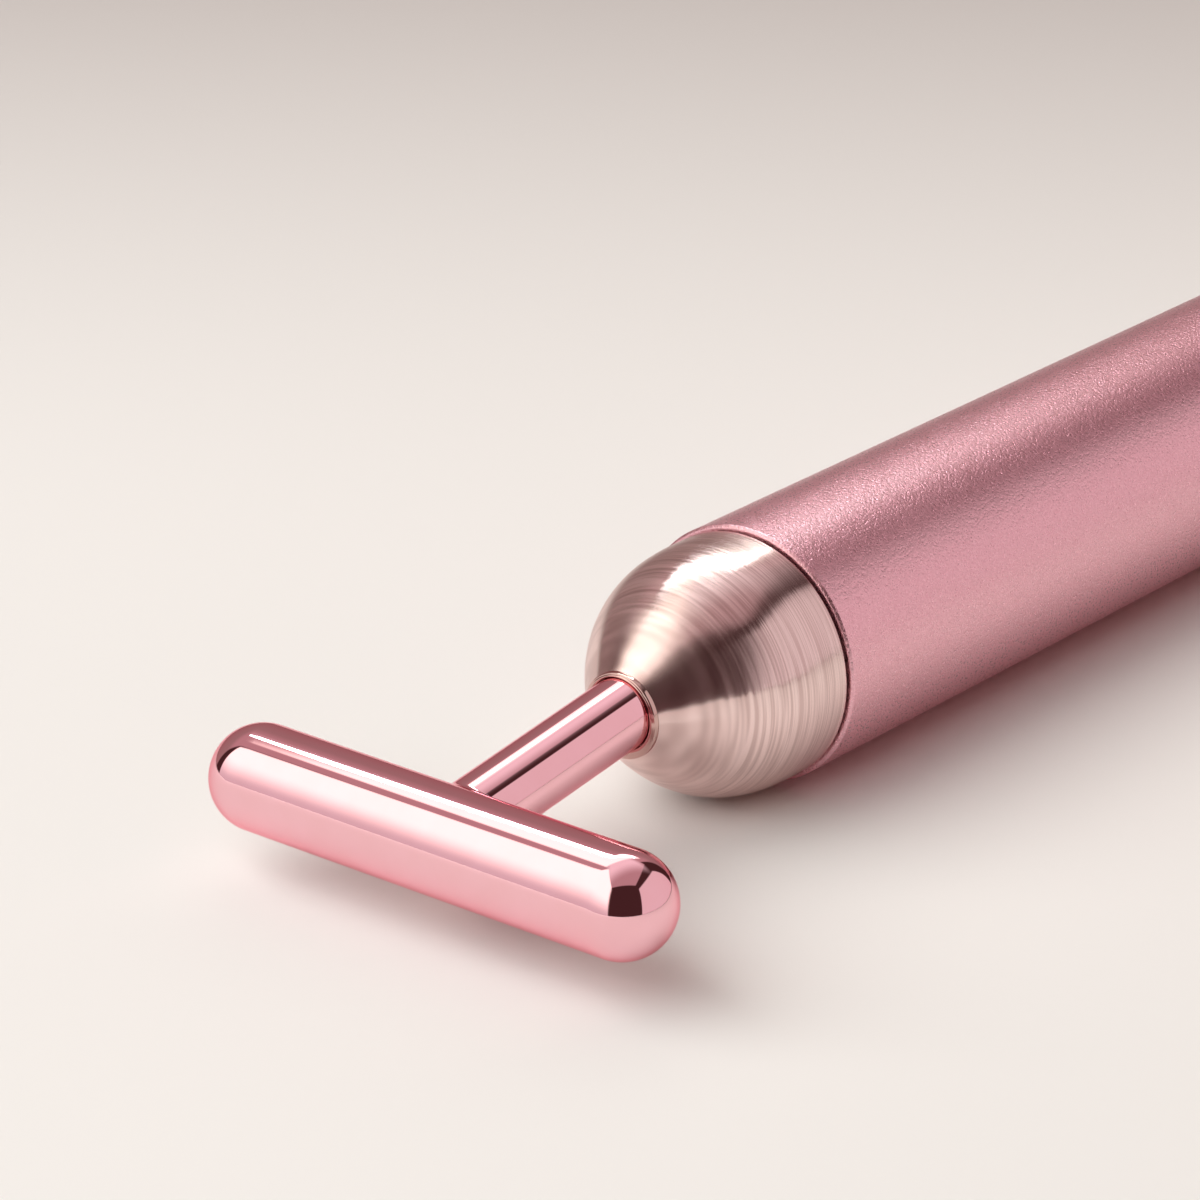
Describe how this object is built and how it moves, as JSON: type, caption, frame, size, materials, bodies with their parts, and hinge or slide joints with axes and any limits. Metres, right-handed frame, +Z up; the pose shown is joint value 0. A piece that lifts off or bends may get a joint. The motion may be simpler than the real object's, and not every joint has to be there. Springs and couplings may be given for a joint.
{
  "type": "vibrating facial massager",
  "caption": "Slim metal barrel with a bell-shaped nose, a tilted neck and a capsule-shaped massage bar across it; a weighted motor inside makes the bar vibrate, and a tail button switches it.",
  "frame": {"origin": "centre of the footprint at the height of the surface the barrel lies on", "axes": "+X along the barrel towards the tail, +Y along the massage bar, +Z up"},
  "size_m": [0.153, 0.041, 0.02],
  "materials": {
    "plated_rose": "polished",
    "lip_rose": "polished",
    "brushed_rose_steel": "satin",
    "anodised_pink": "satin",
    "brass": "satin",
    "gilt_contacts": "gloss",
    "copper": "satin",
    "bright_steel": "gloss",
    "core_steel": "satin",
    "magnet": "matte",
    "weight_metal": "satin",
    "battery_label": "gloss",
    "black_plastic": "satin",
    "white_plastic": "satin",
    "board_green": "satin",
    "red_insulation": "satin",
    "black_insulation": "satin",
    "dark_rubber": "matte",
    "wine_gasket": "matte"
  },
  "bodies": {
    "handle": {"neck_socket": "lip_rose", "nose_dome": "brushed_rose_steel", "nose_gasket": "wine_gasket", "nose_coupler": "brass", "barrel": "anodised_pink", "motor_cradle": "black_plastic", "motor_can": "bright_steel", "motor_magnets": "magnet", "front_bearing": "brass", "rear_bearing": "brass", "motor_end_cap": "white_plastic", "motor_terminals": "gilt_contacts", "motor_brushes": "gilt_contacts", "positive_lead": "red_insulation", "negative_lead": "black_insulation", "contact_board": "board_green", "contact_rim": "gilt_contacts", "positive_contact": "gilt_contacts", "battery_sleeve": "white_plastic", "battery_cell": "battery_label"},
    "head_lift": {"neck_washer": "dark_rubber"},
    "head": {"massage_bar": "plated_rose", "neck_stem": "plated_rose", "head_stud": "bright_steel"},
    "rotor": {"motor_shaft": "bright_steel", "armature_core": "core_steel", "armature_windings": "copper", "commutator": "copper", "eccentric_weight": "weight_metal"},
    "cap_lift": {"tail_seal": "dark_rubber"},
    "cap": {"tail_cap": "brushed_rose_steel", "tail_core": "brass", "retainer_ring": "black_plastic", "contact_plate": "gilt_contacts", "contact_spring": "bright_steel", "switch_housing": "black_plastic", "switch_contacts": "gilt_contacts", "return_spring": "bright_steel"},
    "button": {"push_button": "plated_rose", "button_seal": "dark_rubber", "switch_plunger": "white_plastic", "contact_bridge": "copper"}
  },
  "joints": [
    {"name": "head_travel", "type": "slide", "parent": "handle", "child": "head_lift", "axis": [-0.9907, 0, -0.1357], "range_m": [0, 0.0042]},
    {"name": "head_turn", "type": "hinge", "parent": "head_lift", "child": "head", "pos_m": [-0.05374, 0, 0.01], "axis": [-0.9907, 0, -0.1357], "range_deg": [0, 2160]},
    {"name": "motor_spin", "type": "hinge", "parent": "handle", "child": "rotor", "pos_m": [-0.03754, 0, 0.01], "axis": [1, 0, 0], "continuous": true},
    {"name": "cap_travel", "type": "slide", "parent": "handle", "child": "cap_lift", "axis": [1, 0, 0], "range_m": [0, 0.0045], "deforming": ["contact_spring"]},
    {"name": "cap_turn", "type": "hinge", "parent": "cap_lift", "child": "cap", "pos_m": [0.06046, 0, 0.01], "axis": [1, 0, 0], "range_deg": [0, 1080]},
    {"name": "button_press", "type": "slide", "parent": "cap", "child": "button", "axis": [-1, 0, 0], "range_m": [0, 0.0012], "stiffness_N_per_m": 1000, "springref_m": -0.001, "deforming": ["return_spring"]}
  ],
  "couplings": [
    {"joint": "head_travel", "follows": "head_turn", "m_per_rad": 0.00011141},
    {"joint": "cap_travel", "follows": "cap_turn", "m_per_rad": 0.00023873}
  ]
}
